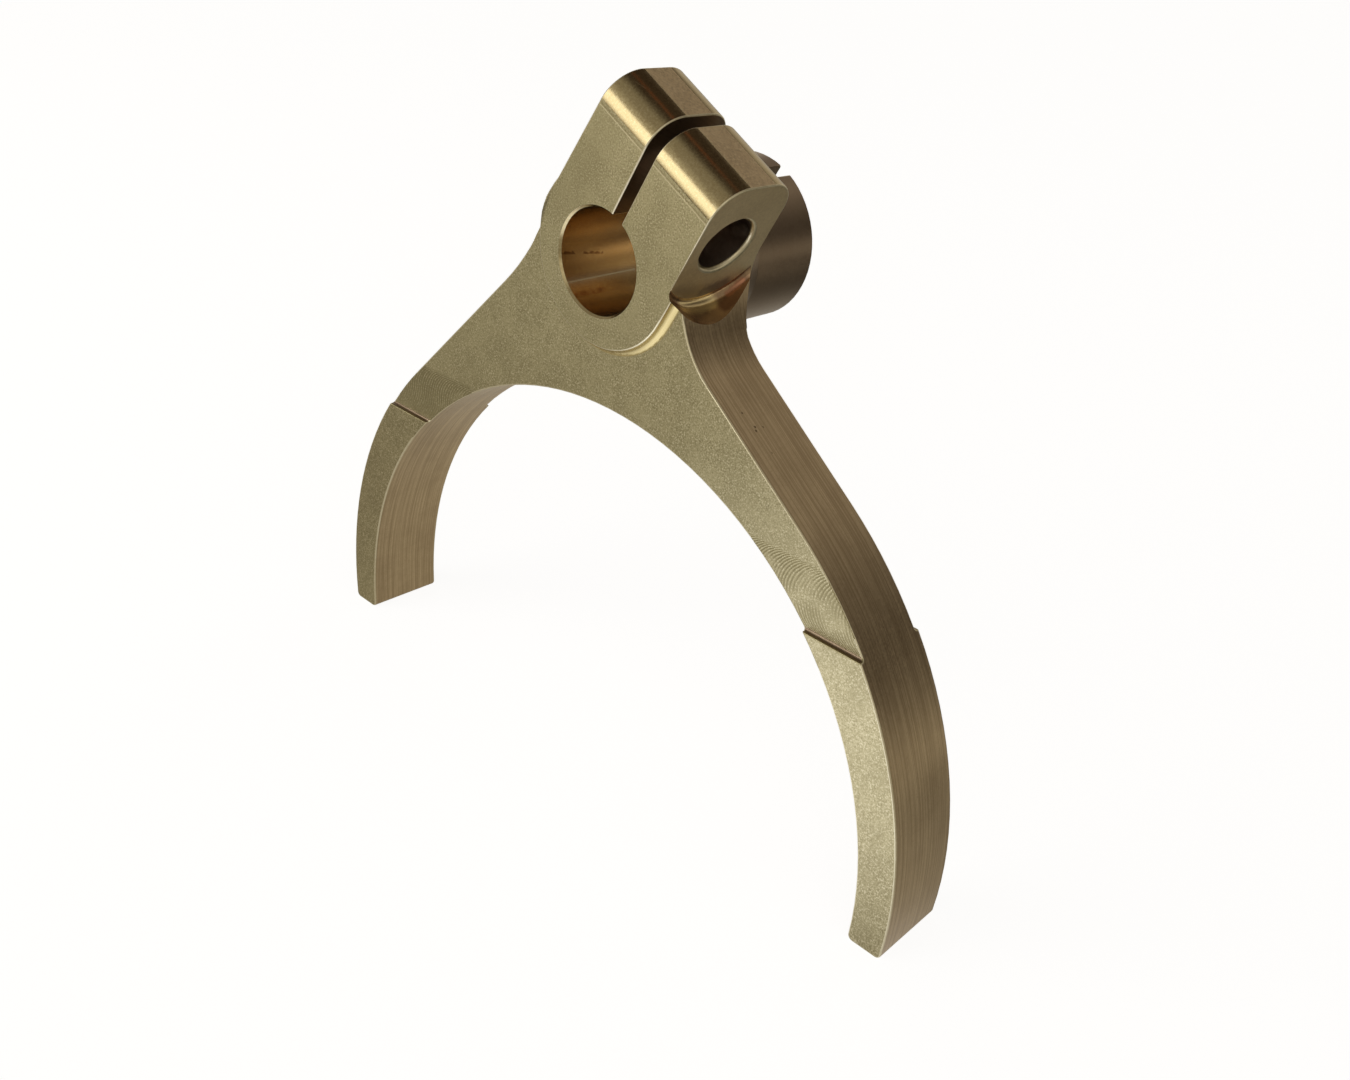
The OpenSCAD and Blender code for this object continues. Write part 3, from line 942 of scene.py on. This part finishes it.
    def finish_of(self, face: bpy.types.MeshPolygon) -> Finish:
        """The finish that suits a triangle of the solid.

        Args:
            face: A triangle of the solid's mesh.

        Returns:
            Its finish.
        """
        clamp, slack, square, lean, level = self.clamp, self.slack, self.square, self.lean, 1.0 - self.square
        across, along = Vector(clamp.across), Vector(clamp.along)
        centre, normal = Vector(face.center) / MM, Vector(face.normal)
        x, y, z = centre.dot(across), centre.y, centre.dot(along)
        sideways, upward, deep = normal.dot(across), normal.dot(along), abs(normal.y)
        off_rail = math.hypot(x, z)
        off_bolt = math.hypot(z - clamp.bolt_up, y + clamp.bolt_front)
        outward = (sideways * x + upward * z) / max(off_rail, 1e-6)
        in_hole = off_bolt < clamp.bolt_hole + self.bolt_rim and abs(x) < clamp.flank + slack
        if in_hole and abs(sideways) < square:
            if abs(sideways) > lean:
                return EDGE
            return THREAD if x < 0.0 else DRILL
        if off_rail < clamp.bore + self.bore_rim and outward < -lean and deep < square:
            return BORE if deep < lean else ROUND
        if abs(sideways) > square and abs(x - clamp.slit[0]) < clamp.slit[1] + slack:
            return SLIT_AND_STEP_SHADE
        if z > clamp.round_low - slack and abs(sideways) < lean:
            return TOP if deep < level else (FACE if deep > square else ROUND)
        if sideways > square and abs(x - clamp.flank) < slack:
            return FLANK
        if sideways < -self.hub_lean and z > self.neck and y < clamp.back:
            return FLANK
        on_hub = x < -self.hub and self.neck < z < clamp.bolt_up - clamp.tap_hole
        if deep > square and on_hub and 0.0 < y < self.boss_free:
            return FLANK
        if off_bolt < clamp.seat + slack and x > clamp.flank - slack:
            return SEAT
        if deep > square:
            return BOSS if y > clamp.back + slack else FACE
        if y > self.plate + slack and off_rail < clamp.boss + self.foot:
            return BOSS
        # painted shade: the pads' steps take the slit's darker finish
        if self.pads[0] < centre.z < self.pads[1] and abs(normal.x) < level:
            return SLIT_AND_STEP_SHADE
        return HOLLOW if deep > level else SIDE


@dataclass
class Softbox:
    """A soft studio lamp that faces the fork.

    Attributes:
        name: Name of the lamp.
        towards: Direction from the fork to the lamp.
        distance: Distance from the fork, in metres.
        size: Width and height, in metres.
        radiance: Brightness of its surface, where 1 is white.
        colour: Colour of the light.
    """

    name: str
    towards: Point
    distance: float
    size: tuple[float, float]
    radiance: float
    colour: Colour = (1.0, 1.0, 1.0)

    def place(self, aim: Vector) -> None:
        """Puts the lamp into the scene.

        Args:
            aim: The point that it faces.
        """
        data = bpy.data.lights.new(self.name, "AREA")
        data.shape = "RECTANGLE"
        data.size, data.size_y = self.size
        data.energy = math.pi * self.radiance * self.size[0] * self.size[1]
        data.color = self.colour
        lamp = bpy.data.objects.new(self.name, data)
        direction = Vector(self.towards).normalized()
        lamp.location = aim + direction * self.distance
        lamp.rotation_euler = direction.to_track_quat("Z", "Y").to_euler()
        bpy.context.scene.collection.objects.link(lamp)


@dataclass(frozen=True)
class FloorPatch:
    """A soft lighter or darker place on the floor, as the metal shows it.

    Attributes:
        centre: Its middle, in millimetres.
        inner: Radius up to which it is even, in millimetres.
        outer: Radius at which it ends, in millimetres.
        glow: Colour that it adds.
    """

    centre: tuple[float, float]
    inner: float
    outer: float
    glow: Colour


@dataclass(frozen=True)
class RoomPatch:
    """A soft lighter or darker place in the room, as the metal shows it.

    Attributes:
        towards: Direction from the fork to its middle.
        inner: Angle up to which it is even, in degrees.
        outer: Angle at which it ends, in degrees.
        glow: Colour that it adds.
    """

    towards: Point
    inner: float
    outer: float
    glow: Colour


@dataclass
class Studio:
    """Pale floor, soft lamps, surroundings and camera.

    Attributes:
        aim: Point that the lamps face, in metres.
        floor_half: Half of the floor's side, in metres.
        softboxes: The lamps.
        floor_tone: Colour of the floor as the metal shows it.
        floor_patches: Lighter and darker places on the floor.
        room_tone: Colour of the room as the metal shows it.
        room_patches: Lighter and darker places in the room.
        paper: Grey of the floor's paper, and the white that it adds for the camera.
        camera_at: Place of the camera, in millimetres.
        camera_turn: Rotation of the camera, in degrees.
        focal: Focal length in pixels of the photograph.
        centre: Principal point in pixels of the photograph.
        picture: Width and height of the photograph in pixels.
        sensor: Width of the camera's sensor, in millimetres.
        clip: Nearest and farthest distance that the camera shows, in metres.
    """

    aim: Point = (0.0, 0.0, -0.03)
    floor_half: float = 4.0
    softboxes: tuple[Softbox, ...] = (
        Softbox("window", (-0.50, -0.85, 0.19), 0.75, (0.60, 0.32), 1.8),
    )
    floor_tone: Colour = (0.41, 0.38, 0.32)
    floor_patches: tuple[FloorPatch, ...] = (
        FloorPatch((21.0, -59.0), 20.0, 88.0, (1.08, 1.15, 1.37)),
        FloorPatch((-130.0, -155.0), 30.0, 140.0, (0.155, 0.175, 0.185)),
        FloorPatch((-130.0, -60.0), 25.0, 85.0, (-0.09, -0.10, -0.09)),
        FloorPatch((-440.0, -700.0), 200.0, 330.0, (1.10, 1.06, 0.95)),
        FloorPatch((-335.0, -300.0), 60.0, 185.0, (-0.39, -0.365, -0.31)),
        FloorPatch((195.0, 125.0), 35.0, 85.0, (0.62, 0.575, 0.48)),
        FloorPatch((210.0, 260.0), 40.0, 110.0, (-0.27, -0.255, -0.215)),
        FloorPatch((80.0, 170.0), 70.0, 190.0, (-0.30, -0.278, -0.234)),
        FloorPatch((-60.0, 110.0), 40.0, 120.0, (0.20, 0.20, 0.18)),
    )
    room_tone: Colour = (0.36, 0.33, 0.28)
    room_patches: tuple[RoomPatch, ...] = (
        RoomPatch((-0.30, 0.25, 0.92), 24.0, 48.0, (-0.31, -0.295, -0.255)),
        RoomPatch((-0.05, 0.10, 0.99), 0.5, 5.0, (0.22, 0.06, 0.02)),
        RoomPatch((0.60, 0.72, 0.36), 12.0, 34.0, (-0.29, -0.27, -0.23)),
        RoomPatch((0.30, 0.74, 0.60), 8.0, 26.0, (0.16, 0.147, 0.127)),
        RoomPatch((-0.50, -0.85, 0.15), 8.0, 38.0, (0.24, 0.23, 0.205)),
        RoomPatch((-0.22, 0.93, 0.28), 8.0, 32.0, (0.20, 0.17, 0.14)),
        RoomPatch((-0.80, 0.58, 0.20), 8.0, 22.0, (0.60, 0.56, 0.48)),
        RoomPatch((0.69, -0.69, 0.29), 10.0, 32.0, (0.45, 0.44, 0.40)),
    )
    paper: tuple[float, float] = (0.34, 0.89)
    camera_at: Point = (127.247, -127.035, 53.514)
    camera_turn: Point = (64.2493, -7.0276, 39.8338)
    focal: float = 1309.9
    centre: tuple[float, float] = (797.4, 481.9)
    picture: tuple[int, int] = (1350, 1080)
    sensor: float = 36.0
    clip: tuple[float, float] = (0.005, 50.0)

    def build(self, lowest: float) -> None:
        """Builds the whole studio.

        Args:
            lowest: Height of the fork's lowest point, in metres.
        """
        bpy.context.scene.view_settings.view_transform = "Standard"
        self.build_camera()
        self.build_floor(lowest)
        self.build_world()
        for softbox in self.softboxes:
            softbox.place(Vector(self.aim))
            LOG.info("lamp %s", softbox.name)

    def build_camera(self) -> None:
        """Makes the camera at the photograph's place and angle."""
        width, height = self.picture
        data = bpy.data.cameras.new("photo_camera")
        data.sensor_fit, data.sensor_width = "HORIZONTAL", self.sensor
        data.lens = self.focal / width * self.sensor
        data.shift_x = (width / 2 - self.centre[0]) / width
        data.shift_y = (self.centre[1] - height / 2) / width
        data.clip_start, data.clip_end = self.clip
        camera = bpy.data.objects.new("photo_camera", data)
        camera.location = Vector(self.camera_at) * MM
        camera.rotation_euler = [math.radians(turn) for turn in self.camera_turn]
        bpy.context.scene.collection.objects.link(camera)
        bpy.context.scene.camera = camera
        LOG.info("camera with a lens of %.1f mm", data.lens)

    @staticmethod
    def summed(g: Graph, tone: Colour, parts: list[tuple[Socket, Colour]]) -> Socket:
        """A colour with soft patches added.

        Args:
            g: Graph of the floor or of the world.
            tone: The even colour.
            parts: Mask and colour of each patch.

        Returns:
            The colour.
        """
        total: Value = tone
        for mask, glow in parts:
            total = g.vector("ADD", total, g.scaled(glow, mask))
        return total

    def build_floor(self, lowest: float) -> None:
        """Makes the pale floor.

        Args:
            lowest: Height of the floor, in metres.
        """
        half = self.floor_half
        mesh = bpy.data.meshes.new("floor")
        corners = ((-half, -half), (half, -half), (half, half), (-half, half))
        mesh.from_pydata([(x, y, lowest) for x, y in corners], [], [(0, 1, 2, 3)])
        floor = bpy.data.objects.new("floor", mesh)
        bpy.context.scene.collection.objects.link(floor)
        floor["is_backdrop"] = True
        made = bpy.data.materials.new("floor_paper")
        made.use_nodes = True
        made.node_tree.nodes.clear()
        g = Graph(made.node_tree)
        place = g.scaled(g.node("ShaderNodeTexCoord").outputs["Object"], 1.0 / MM)
        parts = []
        for patch in self.floor_patches:
            away = g.measure("DISTANCE", place, (*patch.centre, lowest / MM))
            parts.append((g.step(away, patch.inner, patch.outer, 1.0, 0.0), patch.glow))
        path = g.node("ShaderNodeLightPath").outputs
        grey, white = self.paper
        lit = g.node("ShaderNodeBsdfDiffuse", {"Color": (grey, grey, grey)})
        seen = g.node("ShaderNodeEmission", {"Strength": g.math("MULTIPLY", path["Is Camera Ray"], white)})
        paper = g.node("ShaderNodeAddShader")
        glow = g.node("ShaderNodeEmission", {"Color": self.summed(g, self.floor_tone, parts)})
        mirrored = g.math("MAXIMUM", path["Is Glossy Ray"], path["Is Transmission Ray"])
        mixed = g.node("ShaderNodeMixShader", {0: mirrored})
        for source, target in ((lit, paper.inputs[0]), (seen, paper.inputs[1]), (paper, mixed.inputs[1]),
                               (glow, mixed.inputs[2])):
            g.tree.links.new(source.outputs[0], target)
        out = g.node("ShaderNodeOutputMaterial")
        g.tree.links.new(mixed.outputs[0], out.inputs["Surface"])
        mesh.materials.append(made)
        LOG.info("floor at %.1f mm", lowest / MM)

    def build_world(self) -> None:
        """Makes the surroundings: white for the camera, soft grey room for the rest."""
        world = bpy.data.worlds.new("studio")
        bpy.context.scene.world = world
        world.use_nodes = True
        world.node_tree.nodes.clear()
        g = Graph(world.node_tree)
        look = g.node("ShaderNodeTexCoord").outputs["Generated"]
        parts = []
        for patch in self.room_patches:
            near = g.dot(look, tuple(Vector(patch.towards).normalized()))
            low, high = math.cos(math.radians(patch.outer)), math.cos(math.radians(patch.inner))
            parts.append((g.step(near, low, high), patch.glow))
        colour = g.mix(g.node("ShaderNodeLightPath").outputs["Is Camera Ray"],
                       self.summed(g, self.room_tone, parts), (1.0, 1.0, 1.0))
        light = g.node("ShaderNodeBackground", {"Color": colour, "Strength": 1.0})
        out = g.node("ShaderNodeOutputWorld")
        g.tree.links.new(light.outputs[0], out.inputs["Surface"])


def main() -> None:
    """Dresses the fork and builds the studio."""
    logging.basicConfig(level=logging.INFO, format="%(name)s: %(message)s")
    cad_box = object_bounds()
    fork = Fork()
    body = fork.build(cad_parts[NODE], BrassShader(Effects(), fork.clamp))
    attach(body, "root")
    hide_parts(NODE)
    LOG.info("piece %s with %d finishes", body.name, len(FINISHES))
    Studio().build(cad_box[0].z)


if __name__ == "__main__":
    main()
